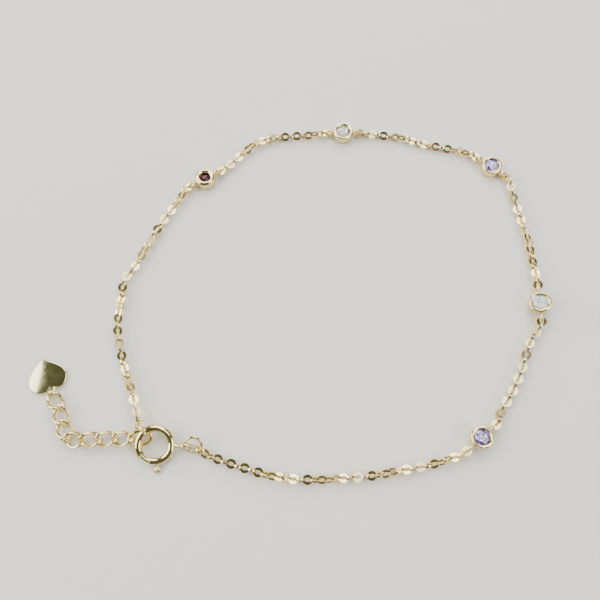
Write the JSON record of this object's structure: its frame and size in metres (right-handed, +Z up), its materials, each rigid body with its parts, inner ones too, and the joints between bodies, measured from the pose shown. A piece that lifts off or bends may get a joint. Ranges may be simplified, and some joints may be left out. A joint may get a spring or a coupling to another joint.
{
  "type": "diamond station bracelet",
  "caption": "Fine gold cable-chain bracelet with round brilliant stones in bezel stations, closed by a spring ring clasp, with an extender chain that ends in a plain heart tag.",
  "frame": {"origin": "bottom centre of the closed bracelet's bounding box, on the surface it lies on", "axes": "+X along the loop's longest way, from the extender towards the far station; +Y across it, away from the clasp; +Z up"},
  "size_m": [0.0669, 0.0494, 0.0023],
  "materials": {
    "chain": "polished 18 carat yellow gold",
    "bezel": "polished 18 carat yellow gold",
    "clasp": "polished 18 carat yellow gold",
    "extender": "polished 18 carat yellow gold",
    "heart": "polished 18 carat yellow gold",
    "stone": "clear round brilliant diamond"
  },
  "bodies": {
    "bracelet": {"bezel_1": "bezel", "bezel_2": "bezel", "bezel_3": "bezel", "bezel_4": "bezel", "bezel_5": "bezel", "stone_1": "stone", "stone_2": "stone", "stone_3": "stone", "stone_4": "stone", "stone_5": "stone", "chain_1": "chain", "chain_2": "chain", "chain_3": "chain", "chain_4": "chain", "chain_5": "chain", "chain_6": "chain", "clasp_ring": "clasp", "jump_ring": "clasp", "connector_ring": "clasp", "end_ring": "clasp", "extender_link_1": "extender", "extender_link_2": "extender", "extender_link_3": "extender", "extender_link_4": "extender", "extender_link_5": "extender", "extender_link_6": "extender", "extender_link_7": "extender", "extender_link_8": "extender", "heart_charm": "heart"},
    "trigger": {"clasp_trigger": "clasp"}
  },
  "joints": [
    {"name": "trigger_slide", "type": "hinge", "parent": "bracelet", "child": "trigger", "pos_m": [-0.01685, -0.0201, 0.00093], "axis": [0.1056, -0.1986, 0.9744], "range_deg": [0, 36], "stiffness_Nm_per_rad": 0.00002, "springref_deg": -11.46}
  ]
}
